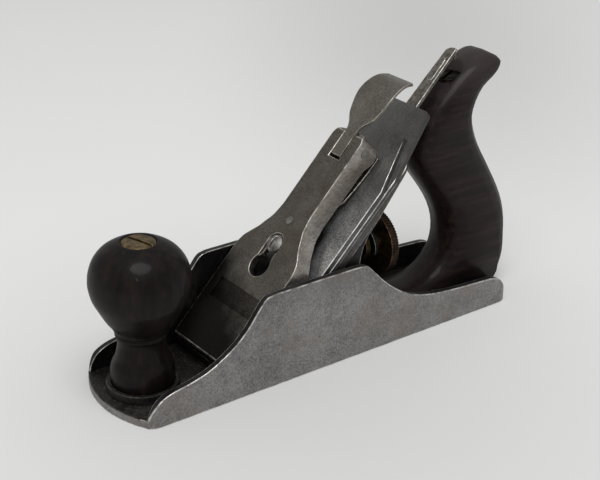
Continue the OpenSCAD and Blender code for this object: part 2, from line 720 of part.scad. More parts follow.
module cam_lever() {
    // heel of the cam: its radius grows from the arm's end to the pressing side
    lobe = [for (a = [180:5:285]) let (r = 6 + 2.2*sin(min(a - 180, 90)))
        [cam_s + r*cos(a), cam_h + r*sin(a)]];
    sheet = curve([[117.5, 18.1], [123, 18.8], [127, 18.75], [131, 19], [135, 19.4],
        [139, 19.4], [143, 18.8], [147, 17.3], [149.4, 15.7], [151.4, 13.5],
        [152.4, 12.2]], 4);
    side = concat([[117, cam_w/2], [120.6, cam_w/2 + 0.4]],
        curve([[123, 4.7], [125, 6.4], [127, 7.9], [129.4, 8.9], [133, 9.9], [137, 10.6],
            [141, 10.6], [146, 10.1], [149, 9.6], [151, 9], [153, 7.8]], 4));
    color([0.37, 0.35, 0.32])
    on_bed() difference() {
        union() {
            across(-cam_w/2, cam_w/2) polygon(concat(lobe, [[cam_s + 5.4, cam_h - 3.6],
                [cam_s + 6.4, cam_h + 1.6], [120.6, 16.4], [123, 17.2], [123, 18.75],
                [117.5, 18.1], [106.6, 17.85], [106.2, 17]]));
            intersection() {
                linear_extrude(40) polygon(concat(side, mirrored(side)));
                across(-20, 20) polygon(strip(sheet, thumb_t));
            }
        }
        translate([cam_s, 30, cam_h]) rotate([90, 0, 0])
            cylinder(d = cam_pin_d + 2*run_fit, h = 60);
    }
}

module cam_pin() {
    l = lc_neck_w + 0.6;
    color([0.5, 0.48, 0.45])
    on_bed() translate([cam_s, l/2, cam_h]) rotate([90, 0, 0]) cylinder(d = cam_pin_d, h = l);
}

module lever_cap_screw() {
    seat = lc_nose_h + lc_screw_s*lc_slope - 1;
    color([0.5, 0.49, 0.46])
    on_bed() translate([lc_screw_s, 0, 0]) difference() {
        union() {
            translate([0, 0, -14]) cylinder(d = lc_screw_d, h = seat + 14.1);
            translate([0, 0, seat + 0.05]) cylinder(d = lc_head_d, h = 0.8);
            intersection() {
                translate([0, 0, seat - 3.6]) sphere(6.1);
                translate([0, 0, seat + 0.8]) cylinder(d = lc_head_d, h = 5);
            }
        }
        translate([-6, -0.6, seat + 1.5]) cube([12, 1.2, 5]);
    }
}

module knob() {
    r = knob_d/2;
    n = knob_neck_d/2;
    f = knob_foot_d/2;
    z0 = knob_boss_z - 1.6;
    side = concat([[0, z0], [f - 1, z0], [f - 0.6, z0 + 0.4], [f - 0.6, knob_boss_z]],
        curve([[f - 0.5, knob_boss_z + 0.5], [f, 10.8], [f, 13.4], [f - 0.7, 16.6],
            [f - 2.3, 20], [n + 0.2, 24.4], [n, 27], [n + 0.2, 29.3]], 4),
        [[n + 0.7, 29.7], [n + 1, 30.6], [n + 0.8, 31.4], [n + 0.4, 31.8],
         [n + 1.1, 32.3], [n + 1.6, 33.2], [n + 1.5, 34]],
        curve([[n + 2, 34.4], [n + 3.4, 36.2], [n + 5.3, 39], [r - 3.8, 43],
            [r - 1.3, 48], [r - 0.2, 52.4], [r, knob_ball_z], [r - 0.5, 59.5], [r - 2.2, 64.2],
            [r - 5.3, 68.2], [r - 9.4, 71], [r - 13.4, knob_top_z]], 5),
        [[0, knob_top_z]]);
    color([0.17, 0.12, 0.11])
    difference() {
        translate([knob_x, 0, 0]) rotate_extrude() polygon(side);
        translate([knob_x, 0, 0]) cylinder(d = knob_bolt_d + 2*wood_fit, h = 100);
        translate([knob_x, 0, knob_top_z - 13]) cylinder(d = 8.6 + 2*wood_fit, h = 20);
        translate([knob_x, 0, knob_top_z - 1.6]) cylinder(d = knob_nut_d + 2*wood_fit, h = 20);
    }
}

module knob_bolt() {
    color([0.42, 0.41, 0.4])
    translate([knob_x, 0, 1.6]) cylinder(d = knob_bolt_d, h = knob_top_z - 2.6 - 1.6);
}

// slotted brass nut standing on its threaded barrel, head upwards
module slotted_nut(d, barrel, bolt_d, turn) {
    rotate([0, 0, turn]) difference() {
        union() {
            translate([0, 0, -barrel]) cylinder(d = 8.6, h = barrel + 0.1);
            cylinder(d = d, h = 1.3);
            translate([0, 0, 1.3]) cylinder(d1 = d, d2 = d - 3, h = 0.8);
        }
        translate([0, 0, -barrel - 1]) cylinder(d = bolt_d + 2*run_fit, h = barrel + 0.2);
        translate([-d, -0.8, 1]) cube([2*d, 1.6, 5]);
    }
}

module knob_nut() {
    color([0.55, 0.45, 0.26])
    translate([knob_x, 0, knob_top_z - 1.6]) slotted_nut(knob_nut_d, 10, knob_bolt_d, 107);
}

// handle seen from the side, each point with the depth of its rounding
tote_view = [[20.3, 4.2, 0.6], [20, 8.6, 1], [21.6, 11.8, 2.2], [28, 12.9, 3], [40, 12.8, 4],
    [50, 12.7, 5], [57.5, 13.6, 6], [66, 17.4, 7.5], [70.9, 22.6, 8.5], [73, 28.4, 9.5],
    [73.3, 35, 10], [71.6, 42, 10], [67.6, 50, 10], [62, 58, 9.5], [56.2, 65.6, 9],
    [51.8, 72, 8.5], [49.6, 79, 8], [50.6, 87, 7.5], [54.4, 95, 7], [60.4, 102.6, 6.5],
    [67, 109, 6], [73.6, 114.6, 6], [80.8, 118.8, 5.2], [87.6, 120.8, 4], [93.6, 121.4, 3],
    [97.3, 118.2, 2.6], [96, 113.2, 3], [92.2, 109.2, 4], [88.3, 105.5, 6], [85.4, 99.9, 7.5],
    [84.1, 93, 8.5], [85.8, 85.4, 9], [89.3, 77.7, 9.5], [94.2, 69.9, 10], [99.3, 61.6, 10],
    [104.4, 52.9, 10], [108.6, 43.6, 9.5], [111, 34, 9], [111.5, 24.8, 8], [110.5, 16.4, 6],
    [107.1, 9.6, 3], [102.6, 4.2, 0.8], [90, 4, 0.5], [75, 4, 0.5], [60, 4, 0.5], [50, 4, 0.5],
    [40, 4, 0.5], [30, 4, 0.5], [26, 4, 0.5], [24, 4, 0.5], [22, 4, 0.5]];

module tote_wood() {
    p = loop(tote_view, 2);
    n = len(p);
    half = tote_w/2;
    deep = tote_w*0.36;
    steps = 3;
    // inward direction at point i, the outline running clockwise
    function inward(i) = let (v = p[(i + 1)%n] - p[(i + n - 1)%n], l = norm([v[0], v[1]]))
        [v[1]/l, -v[0]/l];
    function ring(k) = let (a = 90*abs(k)/steps, q = k < 0 ? -1 : 1) [
        for (i = [0:n - 1]) let (w = inward(i), e = p[i][2]*(1 - cos(a)))
            [p[i][0] + w[0]*e, q*(half - deep + deep*sin(a)), p[i][1] + w[1]*e]];
    rings = [for (k = [-steps:steps]) k];
    // two triangles of a flat side, between the front's point i and the back's
    function flat_side(i, at, far) = let (j = n - 1 - i,
        t = [[i, i + 1, j], [i + 1, j - 1, j]]) [for (v = t) far ?
            [at + v[2], at + v[1], at + v[0]] : [at + v[0], at + v[1], at + v[2]]];
    pts = [for (k = rings) each (k == 0 ? [for (v = ring(0)) [v[0], 0, v[2]]] : ring(k))];
    m = len(rings);
    polyhedron(points = pts, faces = concat(
        [for (i = [0:n/2 - 2]) each flat_side(i, 0, false)],
        [for (i = [0:n/2 - 2]) each flat_side(i, (m - 1)*n, true)],
        [for (j = [0:m - 2]) for (i = [0:n - 1]) [j*n + i, (j + 1)*n + (i + 1)%n, j*n + (i + 1)%n]],
        [for (j = [0:m - 2]) for (i = [0:n - 1]) [j*n + i, (j + 1)*n + i, (j + 1)*n + (i + 1)%n]]));
}

// puts children on the handle's bolt, z running up it from the bed
module on_tote_bolt() {
    translate([tote_bolt_x, 0, sole_t]) rotate([0, -tote_lean, 0]) children();
}
tote_nut_at = 107.4;

module tote() {
    color([0.17, 0.12, 0.11])
    difference() {
        intersection() {
            tote_wood();
            translate([0, -30, sole_t]) cube([200, 60, 200]);
        }
        on_tote_bolt() {
            translate([0, 0, -10]) cylinder(d = tote_bolt_d + 2*wood_fit, h = 200, $fn = 16);
            translate([0, 0, tote_nut_at - 13]) cylinder(d = 8.6 + 2*wood_fit, h = 60, $fn = 16);
            translate([0, 0, tote_nut_at]) cylinder(d = tote_nut_d + 2*wood_fit, h = 60, $fn = 24);
        }
        // hollows over the bed's bosses
        translate([tote_bolt_x - 8.5, -7, 0]) cube([16, 14, sole_t + 2]);
        translate([33.4, -3.6, 0]) cube([11.2, 7.2, sole_t + 2.8]);
    }
}

module tote_bolt() {
    color([0.42, 0.41, 0.4])
    on_tote_bolt() translate([0, 0, -2.2]) cylinder(d = tote_bolt_d, h = tote_nut_at - 1 + 2.2);
}

module tote_nut() {
    color([0.55, 0.45, 0.26])
    on_tote_bolt() translate([0, 0, tote_nut_at]) slotted_nut(tote_nut_d, 10, tote_bolt_d, 20);
}

plane_body();
frog();
frog_screw_left();
frog_screw_right();
frog_washer_left();
frog_washer_right();
frog_adjusting_plate();
frog_plate_screw();
frog_adjusting_screw();
yoke();
yoke_pin();
depth_stud();
depth_wheel();
lateral_lever();
lateral_rivet();
lateral_disc();
plane_iron();
cap_iron();
cap_iron_screw();
lever_cap();
lever_cap_spring();
spring_rivet();
cam_lever();
cam_pin();
lever_cap_screw();
knob();
knob_bolt();
knob_nut();
tote();
tote_bolt();
tote_nut();
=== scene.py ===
import json
import math

import bmesh
import bpy
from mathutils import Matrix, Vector

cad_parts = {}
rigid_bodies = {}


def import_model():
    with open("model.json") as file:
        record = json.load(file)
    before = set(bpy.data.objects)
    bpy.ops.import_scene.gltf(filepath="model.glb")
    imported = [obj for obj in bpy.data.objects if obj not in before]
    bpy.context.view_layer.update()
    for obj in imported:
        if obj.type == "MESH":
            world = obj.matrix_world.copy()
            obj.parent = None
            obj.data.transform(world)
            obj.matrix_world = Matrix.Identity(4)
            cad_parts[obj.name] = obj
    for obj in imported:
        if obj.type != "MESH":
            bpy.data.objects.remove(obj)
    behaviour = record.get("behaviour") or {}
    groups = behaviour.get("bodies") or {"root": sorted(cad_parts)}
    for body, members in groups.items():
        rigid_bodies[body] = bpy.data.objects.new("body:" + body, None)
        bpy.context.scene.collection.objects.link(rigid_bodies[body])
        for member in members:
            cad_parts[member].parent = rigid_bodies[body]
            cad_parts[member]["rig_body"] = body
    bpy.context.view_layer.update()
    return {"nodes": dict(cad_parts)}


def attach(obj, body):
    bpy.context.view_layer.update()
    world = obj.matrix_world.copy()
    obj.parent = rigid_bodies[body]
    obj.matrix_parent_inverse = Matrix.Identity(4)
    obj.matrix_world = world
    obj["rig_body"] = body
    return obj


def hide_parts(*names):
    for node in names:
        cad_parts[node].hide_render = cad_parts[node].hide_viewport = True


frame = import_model()
nodes = frame["nodes"]

# The body is one iron casting. Its sole and the outside of its cheeks are ground bare,
# the inside keeps its black japanning, and years of hands have polished the edges.

edge_x = -55  # where the blade's slope meets the sole, in millimetres
slope = 0.7071  # sine and cosine of the slope's 45 degrees


def tone(red, green, blue):
    """A colour given as it looks on a screen, 0 to 255, in the units that shaders use."""
    def linear(v):
        v = v/255
        return v/12.92 if v <= 0.04045 else ((v + 0.055)/1.055)**2.4
    return (linear(red), linear(green), linear(blue), 1)


class Value:
    """A number, colour or place in a finish; sums written with it add their nodes."""

    def __init__(self, tree, socket=None):
        self.tree = tree
        self.socket = socket

    def node(self, kind, settings, sockets, out=0):
        made = self.tree.nodes.new("ShaderNode" + kind)
        for name, setting in settings.items():
            if name == "stops":
                ramp = made.color_ramp.elements
                while len(ramp) < len(setting):
                    ramp.new(0.5)
                for element, (place, colour) in zip(ramp, setting):
                    element.position = place
                    element.color = colour
            else:
                setattr(made, name, setting)
        for name, value in sockets.items():
            if isinstance(value, Value):
                self.tree.links.new(value.socket, made.inputs[name])
            else:
                made.inputs[name].default_value = value
        return Value(self.tree, made.outputs[out])

    def __add__(self, other):
        return self.node("Math", {"operation": "ADD"}, {0: self, 1: other})

    def __sub__(self, other):
        return self.node("Math", {"operation": "SUBTRACT"}, {0: self, 1: other})

    def __rsub__(self, other):
        return self.node("Math", {"operation": "SUBTRACT"}, {0: other, 1: self})

    def __mul__(self, other):
        return self.node("Math", {"operation": "MULTIPLY"}, {0: self, 1: other})

    __radd__ = __add__
    __rmul__ = __mul__

    def between(self, low, high):
        """0 below low, 1 above high, and smooth in between."""
        return self.node("MapRange", {"interpolation_type": "SMOOTHSTEP"},
                         {"Value": self, "From Min": low, "From Max": high})

    def blend(self, first, second):
        """The colour first where this is 0 and second where it is 1."""
        return self.node("Mix", {"data_type": "RGBA"}, {0: self, 6: first, 7: second}, 2)

    def stretched(self, along, turn=0.0):
        """This place turned about y and scaled, so that marks on it run one way."""
        return self.node("Mapping", {}, {"Vector": self, "Scale": along,
                                         "Rotation": (0, math.radians(turn), 0)})

    def cloud(self, size, detail=3.0, rough=0.55):
        """Soft noise at this place whose blots are about size millimetres."""
        return self.node("TexNoise", {}, {"Vector": self, "Scale": 1/size, "Detail": detail,
                                          "Roughness": rough})

    def pits(self, size, radius):
        """1 inside small round pits that lie about size millimetres apart."""
        gap = self.node("TexVoronoi", {}, {"Vector": self, "Scale": 1/size}, "Distance")
        return 1 - gap.between(radius*0.4, radius)

    def axis(self, letter):
        """This place's X, Y or Z."""
        return self.node("SeparateXYZ", {}, {0: self}, letter)

    def up_the_bed(self):
        """How far up the blade's slope this place lies, from the cutting edge."""
        return (self.axis("X") + self.axis("Z") - edge_x)*slope

    def bump(self, depth):
        """A surface normal raised by this height, depth in millimetres."""
        return self.node("Bump", {}, {"Height": self, "Strength": 1.0,
                                      "Distance": depth/1000})


class Finish:
    """A material of the plane, with the place on its surface in millimetres as self.at."""

    def __init__(self, name, metallic=0.0, roughness=0.5, **constants):
        self.material = bpy.data.materials.new(name)
        self.material.use_nodes = True
        tree = self.material.node_tree
        self.shader = tree.nodes["Principled BSDF"]
        self.put("Metallic", metallic)
        self.put("Roughness", roughness)
        for socket, value in constants.items():
            self.put(socket.replace("_", " "), value)
        place = Value(tree).node("TexCoord", {}, {}, "Object")
        self.at = place.node("VectorMath", {"operation": "SCALE"}, {0: place, "Scale": 1000})

    def put(self, socket, value):
        if isinstance(value, Value):
            value.tree.links.new(value.socket, self.shader.inputs[socket])
        else:
            self.shader.inputs[socket].default_value = value


def ground_iron(name, dark, light, warm, worn):
    """Bare cast iron with a fine speckle, long scratches, warm stains and small pits."""
    f = Finish(name, metallic=0.75)
    grain = f.at.cloud(0.8, 4, 0.75)
    mottle = f.at.cloud(3.2, 4, 0.62)
    blots = f.at.cloud(17, 4, 0.6)
    stain = f.at.cloud(23, 3, 0.55).between(0.45, 0.7)
    scratch = f.at.stretched((0.04, 1, 0.9)).cloud(0.5, 2, 0.6).between(0.62, 0.82)
    pit = f.at.pits(7, 0.085)*f.at.cloud(22).between(0.45, 0.6)
    shade = (grain - 0.5)*1.5 + (mottle - 0.5)*0.4 + (blots - 0.5)*0.6 + 0.5
    colour = shade.between(0.05, 0.95).blend(dark, light)
    colour = (stain*0.4).blend(colour, warm)
    colour = (scratch*0.3).blend(colour, worn)
    colour = (f.at.axis("Z").between(30, 44)*0.22).blend(colour, dark)
    f.put("Base Color", (pit*0.8).blend(colour, tone(44, 41, 38)))
    f.put("Roughness", 0.46 + (grain - 0.5)*0.25 + (blots - 0.5)*0.2 - scratch*0.1)
    f.put("Normal", (grain*0.5 + mottle*0.5 - pit*2 - scratch*0.15).bump(0.05))
    return f.material


def bright_edge(name, dull, bright):
    """Edges rubbed bright by handling, duller in places."""
    f = Finish(name, metallic=0.85)
    rub = f.at.cloud(4, 3, 0.6)
    f.put("Base Color", rub.between(0.3, 0.62).blend(dull, bright))
    f.put("Roughness", 0.38 + (rub - 0.5)*0.2)
    return f.material


def japanning(name, black, brown, rough=0.16, speck=0.0):
    """Black baked paint on rough casting, rubbed through to a brown grey in patches."""
    f = Finish(name, Specular_IOR_Level=0.3)
    grain = f.at.cloud(1.1, 3, 0.6)
    patch = (f.at.cloud(11, 4, 0.65) + grain*0.25).between(0.6, 0.85)
    chip = f.at.cloud(2.2, 3, 0.7).between(0.66, 0.74)
    colour = (grain.between(0.3, 0.75)*0.5).blend(black, tone(24, 23, 23))
    colour = (patch*0.6).blend(colour, brown)
    colour = (chip*0.35).blend(colour, tone(84, 77, 68))
    dots = f.at.cloud(0.9, 2, 0.7).between(0.58, 0.72)*speck
    f.put("Base Color", dots.blend(colour, tone(112, 104, 94)))
    f.put("Metallic", chip*0.35)
    f.put("Roughness", 0.42 + patch*0.25 + (grain - 0.5)*0.15)
    f.put("Normal", (grain*0.8 - chip*0.3).bump(rough))
    return f.material


def fresh_copy(node, name, finishes, sharp, rework=None):
    """A welded and smooth copy of a frame piece in new finishes, which takes its place.

    Edges above sharp degrees stay sharp, and rework may change the mesh first.
    """
    mesh = nodes[node].data.copy()
    mesh.materials.clear()
    for finish in finishes:
        mesh.materials.append(finish)
    work = bmesh.new()
    work.from_mesh(mesh)
    bmesh.ops.remove_doubles(work, verts=work.verts, dist=2e-6)
    for face in work.faces:
        face.material_index = 0
        face.smooth = True
    if rework:
        rework(work)
    work.to_mesh(mesh)
    work.free()
    mesh.set_sharp_from_angle(angle=math.radians(sharp))
    piece = bpy.data.objects.new(name, mesh)
    bpy.context.scene.collection.objects.link(piece)
    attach(piece, nodes[node]["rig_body"])
    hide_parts(node)
    return piece


def worn_copy(node, name, width, finishes, crisp=lambda place: False):
    """A copy of a frame piece with its outward edges rounded off, but for crisp places.

    The first finish goes on its faces and the second on the rounded edges.
    """
    def round_edges(work):
        bmesh.ops.dissolve_limit(work, angle_limit=math.radians(0.6), verts=work.verts,
                                 edges=work.edges)
        edges = [e for e in work.edges if e.is_manifold and e.is_convex
                 and e.calc_face_angle(0) > math.radians(30)
                 and not crisp((e.verts[0].co + e.verts[1].co)*500)]
        bmesh.ops.bevel(work, geom=edges, offset=width, offset_type="OFFSET", segments=2,
                        profile=0.5, affect="EDGES", clamp_overlap=False,
                        material=min(1, len(finishes) - 1))

    piece = fresh_copy(node, name, finishes, 38, round_edges)
    weighted = piece.modifiers.new("even normals", "WEIGHTED_NORMAL")
    weighted.keep_sharp = True
    return piece


cheek_iron = ground_iron("ground cheek iron", tone(92, 91, 92), tone(164, 162, 161),
                         tone(126, 116, 107), tone(186, 184, 180))
rubbed_iron = bright_edge("rubbed iron edge", tone(124, 121, 117), tone(212, 209, 204))
body_japan = japanning("japanned bed", tone(8, 8, 9), tone(46, 41, 36))
inner_edge = bright_edge("dull inner edge", tone(34, 32, 30), tone(84, 80, 75))
rim_black = japanning("blackened cheek rim", tone(20, 19, 19), tone(58, 54, 50))
dusty_bed = japanning("dusty bed", tone(21, 20, 19), tone(56, 51, 46), 0.4, 0.6)



def toe_corner(place):
    """True at the toe's two corners, too small for a rounded edge."""
    return -107.6 < place.x < -106.2 and abs(place.y) > 23.7 and place.z < 4.2


def outer_rim(x, y):
    """True on the rounded edge round the toe, whose centre is at x -65.9, or the heel."""
    if x < -66:
        return math.hypot(x + 65.9, y) > 46.8
    return x > 39 and math.hypot(x - 39.5, y) > 60.8


casting = worn_copy("plane_body", "body_casting", 0.00045,
                    [cheek_iron, rubbed_iron, body_japan, inner_edge, rim_black, dusty_bed],
                    crisp=toe_corner)
ground, rubbed, black, dull, rim, dusty = range(6)  # places in that list
inner_wall = 23.9  # half the width between the cheeks, with a little play
for face in casting.data.polygons:
    x, y, z = face.center*1000
    inside = abs(y) < inner_wall and z > 3.1
    if face.material_index == rubbed and x < -104 and abs(y) < 23 and face.normal.z > 0.3:
        face.material_index = dull
    elif face.material_index == rubbed and inside and not outer_rim(x, y):
        on_wall_or_rib = abs(y) > 23.2 or (-64 < x < -56 and z > 6.6)
        face.material_index = dull if on_wall_or_rib else black
    elif face.material_index == ground and inside:
        face.material_index = dusty if face.normal.z > 0.8 and z < 9 else black
    elif face.material_index == ground and 23.7 < abs(y) < 26.9 and face.normal.z > 0.15:
        face.material_index = rim

# The frog is a japanned casting that carries the blade on its sloping face. That face
# and the seat under it are machined bare; the rest keeps its black.

frog_japan = japanning("japanned frog", tone(11, 11, 12), tone(50, 45, 40))
frog_side = ground_iron("filed frog side", tone(58, 57, 56), tone(112, 109, 105),
                        tone(84, 76, 68), tone(140, 137, 132))
frog = worn_copy("frog", "frog_casting", 0.0004, [frog_japan, rubbed_iron, frog_side])
for face in frog.data.polygons:  # its two outer sides get the third finish
    if face.material_index == 0 and abs(face.center.y) > 0.0211 and abs(face.normal.y) > 0.8:
        face.material_index = 2

# Small steel parts hold and move the frog: two slotted screws with washers, and behind
# it the adjusting screw in its forked plate.


def turned_steel(name, dark, light, rust):
    """Turned or stamped steel, dulled to grey with a little rust."""
    f = Finish(name, metallic=0.85)
    mottle = f.at.cloud(1.6, 3, 0.6)
    spot = f.at.cloud(3.4, 4, 0.7).between(0.58, 0.74)
    f.put("Base Color", (spot*0.6).blend(mottle.between(0.25, 0.75).blend(dark, light), rust))
    f.put("Roughness", 0.36 + mottle*0.2 + spot*0.2)
    f.put("Normal", (mottle*0.6 + spot*0.4).bump(0.03))
    return f.material


screw_steel = turned_steel("screw steel", tone(84, 82, 79), tone(150, 147, 142),
                           tone(84, 62, 46))
for node, width in (("frog_screw_left", 0.0002), ("frog_screw_right", 0.0002),
                    ("frog_washer_left", 0.00015), ("frog_washer_right", 0.00015),
                    ("frog_adjusting_plate", 0.00015), ("frog_plate_screw", 0.00015),
                    ("frog_adjusting_screw", 0.0002)):
    piece = worn_copy(node, node + "_steel", width, [screw_steel, rubbed_iron])

# The yoke is a small japanned casting. Its tongue reaches through the blade into the
# cap iron, and its fork rides in the groove of the brass wheel on the steel stud.

yoke = worn_copy("yoke", "yoke_casting", 0.0002, [frog_japan, rubbed_iron])
for node in ("yoke_pin", "depth_stud"):
    piece = worn_copy(node, node + "_steel", 0.0002, [screw_steel, rubbed_iron])


def old_brass(name, dark, light, tarnish):
    """Brass gone dull and brown where nothing rubs it."""
    f = Finish(name, metallic=0.9)
    film = f.at.cloud(3, 4, 0.65)
    spot = f.at.cloud(1.0, 3, 0.6).between(0.55, 0.72)
    colour = film.between(0.32, 0.68).blend(dark, light)
    f.put("Base Color", (spot*0.55).blend(colour, tarnish))
    f.put("Roughness", 0.38 + film*0.22)
    f.put("Normal", (film*0.5 + spot*0.5).bump(0.03))
    return f.material


wheel_brass = old_brass("wheel brass", tone(44, 37, 27), tone(92, 76, 50), tone(30, 25, 19))
wheel_edge = old_brass("rubbed wheel brass", tone(112, 80, 60), tone(186, 142, 112),
                       tone(70, 50, 38))
knurled_brass = old_brass("knurled brass", tone(26, 21, 17), tone(64, 50, 38),
                          tone(16, 13, 11))
wheel = worn_copy("depth_wheel", "depth_wheel_brass", 0.00015,
                  [wheel_brass, wheel_edge, knurled_brass])
for face in wheel.data.polygons:  # the knurled rim, outside the groove
    reach = math.hypot(face.center.y, face.center.z - 0.0392)
    if abs(face.normal.x) < 0.3 and reach > 0.0148:
        face.material_index = 2

# The lateral lever is a stamped strip of steel on a rivet behind the blade. Its disc
# sits in the blade's slot and a raised bare oval marks its thumb end.

lever_steel = turned_steel("lever steel", tone(78, 74, 69), tone(140, 134, 126),
                           tone(88, 74, 60))
for node, width in (("lateral_lever", 0.0003), ("lateral_rivet", 0.0002),
                    ("lateral_disc", 0.0002)):
    piece = worn_copy(node, node + "_steel", width, [lever_steel, rubbed_iron])

# Blade and cap iron are rolled steel, ground along their length, now grey with age and
# pitted in places. A slotted screw clamps them together.


def blade_steel(name, dark, light, stain):
    """Old ground steel with lengthwise marks, stains and fine rust pits, darker in patches and
    further up the slope, and with painted shade in the middle under the lever cap.
    """
    f = Finish(name, metallic=0.8)
    along = f.at.stretched((0.045, 1, 1), 45)
    marks = along.cloud(0.45, 2, 0.6)
    blots = f.at.cloud(8, 4, 0.62)
    speckle = f.at.cloud(0.7, 3, 0.7)
    pit = f.at.pits(4.2, 0.1)*f.at.cloud(16).between(0.48, 0.6)
    shade = (marks - 0.5)*0.8 + (blots - 0.5)*0.7 + (speckle - 0.5)*1.5 + 0.5
    colour = shade.between(0.1, 0.9).blend(dark, light)
    # Darker grey further up the slope and in random patches.
    darker_up_the_slope = f.at.up_the_bed().between(74, 116)*0.75 + f.at.cloud(24, 3).between(0.5, 0.7)*0.25
    colour = darker_up_the_slope.blend(colour, stain)
    # Painted shade: the middle of the steel under the lever cap, seen through its keyhole, is
    # darkened nearly to black.
    middle = f.at.axis("Y")
    shade_under_lever_cap = (1 - (middle*middle).between(60, 150))*(1 - f.at.up_the_bed().between(74, 80))
    colour = (shade_under_lever_cap*0.9).blend(colour, tone(14, 13, 12))
    f.put("Base Color", (pit*0.75).blend(colour, tone(46, 42, 38)))
    f.put("Roughness", 0.4 + (blots - 0.5)*0.3 + (speckle - 0.5)*0.2)
    f.put("Normal", (marks*0.3 + speckle*0.4 - pit*1.5).bump(0.04))
    return f.material


iron_steel = blade_steel("blade steel", tone(96, 96, 97), tone(190, 191, 192),
                         tone(98, 96, 93))
rubbed_steel = bright_edge("rubbed steel edge", tone(168, 168, 168), tone(236, 236, 234))
# A darker copy of the blade steel, painted shade, goes on the narrow sides.
shaded_side_steel = blade_steel("blade side steel", tone(62, 61, 60), tone(112, 111, 110),
                         tone(70, 68, 66))
for node, width in (("plane_iron", 0.00035), ("cap_iron", 0.0003), ("cap_iron_screw", 0.0003)):
    piece = worn_copy(node, node + "_steel", width, [iron_steel, rubbed_steel, shaded_side_steel],
                      crisp=lambda place: place.x + place.z > 115)
    for face in piece.data.polygons:  # the narrow sides get a darker copy of the steel, painted shade
        if face.material_index == 0 and abs(face.normal.y) > 0.6:
            face.material_index = 2

# The lever cap is cast iron, ground on its face and left bare, and has gone brownish. A
# steel leaf spring is riveted under it, and a cam on a pin presses on that spring.


def patinated_iron(name, dark, light, brown):
    """Handled bare iron with an even brown grey patina and fine dark flecks, and painted shade
    and reflection that darken its lower end nearly to black.
    """
    f = Finish(name, metallic=0.8, Specular_IOR_Level=0.15)
    fine = f.at.stretched((0.3, 1, 1), 45).cloud(0.6, 3, 0.65)
    blots = f.at.cloud(9, 4, 0.6)
    fleck = f.at.cloud(1.3, 3, 0.75).between(0.64, 0.76)
    shade = (fine - 0.5)*1.3 + (blots - 0.5)*0.6 + 0.5
    colour = shade.between(0.1, 0.9).blend(dark, light)
    colour = (f.at.cloud(14, 3).between(0.42, 0.7)*0.4).blend(colour, brown)
    colour = (fleck*0.4).blend(colour, tone(44, 40, 35))
    # Painted shade and reflection: towards the nose, and more on the far side, the colour goes
    # nearly black for the knob's shadow and the dark far cheek seen in it.
    nose_shade_and_reflection = 1 - (f.at.up_the_bed() - f.at.axis("Y")*0.8 + (blots - 0.5)*16).between(17, 42)
    f.put("Base Color", (nose_shade_and_reflection*0.92).blend(colour, tone(9, 9, 8)))
    f.put("Roughness", 0.28 + (blots - 0.5)*0.2 + fleck*0.15 + nose_shade_and_reflection*0.1)
    f.put("Normal", (fine*0.5 - fleck*0.4 + blots*0.3).bump(0.03))
    return f.material


def on_the_bed(place):
    """How far up the blade's slope a point lies, and how far above it."""
    return (place.x + place.z - edge_x)*slope, (place.z - place.x + edge_x)*slope


def near_a_fitting(place):
    """True round the sunk panel, the spring's rivet and the cam's pin."""
    along, above = on_the_bed(place)
    panel = 25 < along < 35 and above > 14 and abs(place.y) < 17
    rivet = math.hypot(along - 70.9, place.y) < 3
    pin = math.hypot(along - 113.6, above - 12.3) < 3
    return panel or rivet or pin


cap_patina = patinated_iron("lever cap patina", tone(68, 65, 61), tone(120, 115, 108),
                            tone(86, 77, 66))
# A lighter copy of the patina, painted light, goes on the lever cap's side faces.
lit_flank_iron = patinated_iron("lever cap flank", tone(112, 108, 104), tone(176, 171, 165),
                            tone(130, 117, 104))
panel_ground = patinated_iron("sunk panel ground", tone(20, 18, 17), tone(86, 81, 74),
                              tone(44, 38, 33))
cam_patina = patinated_iron("thumb piece patina", tone(84, 80, 75), tone(138, 133, 125),
                            tone(98, 90, 80))
rubbed_cap = bright_edge("rubbed cap edge", tone(112, 108, 101), tone(190, 185, 176))
pin_ends = turned_steel("pin ends", tone(104, 101, 96), tone(150, 147, 141), tone(96, 84, 72))
cap = worn_copy("lever_cap", "lever_cap_iron", 0.0004,
                [cap_patina, rubbed_cap, lit_flank_iron, panel_ground], crisp=near_a_fitting)
for face in cap.data.polygons:
    along, above = on_the_bed(face.center*1000)
    y = abs(face.center.y)*1000
    sunk_panel = 24 < along < 34.2 and 14 < above < 16.2 and y < 16.1
    flank = abs(face.normal.y) > 0.5 and y > 7.5
    if face.material_index == 0 and sunk_panel:
        face.material_index = 3
    elif face.material_index == 0 and flank:
        face.material_index = 2
for node, finish in (("cam_lever", cam_patina), ("lever_cap_spring", cap_patina),
                     ("cam_pin", pin_ends), ("spring_rivet", pin_ends)):
    piece = worn_copy(node, node + "_iron", 0.00025, [finish, rubbed_cap],
                      crisp=near_a_fitting)
cap_screw = worn_copy("lever_cap_screw", "lever_cap_screw_steel", 0.0002,
                      [screw_steel, rubbed_iron])

# Knob and handle are rosewood, turned and carved, nearly black with old polish. Each is
# held to the bed by a steel bolt with a slotted brass nut let into its top.


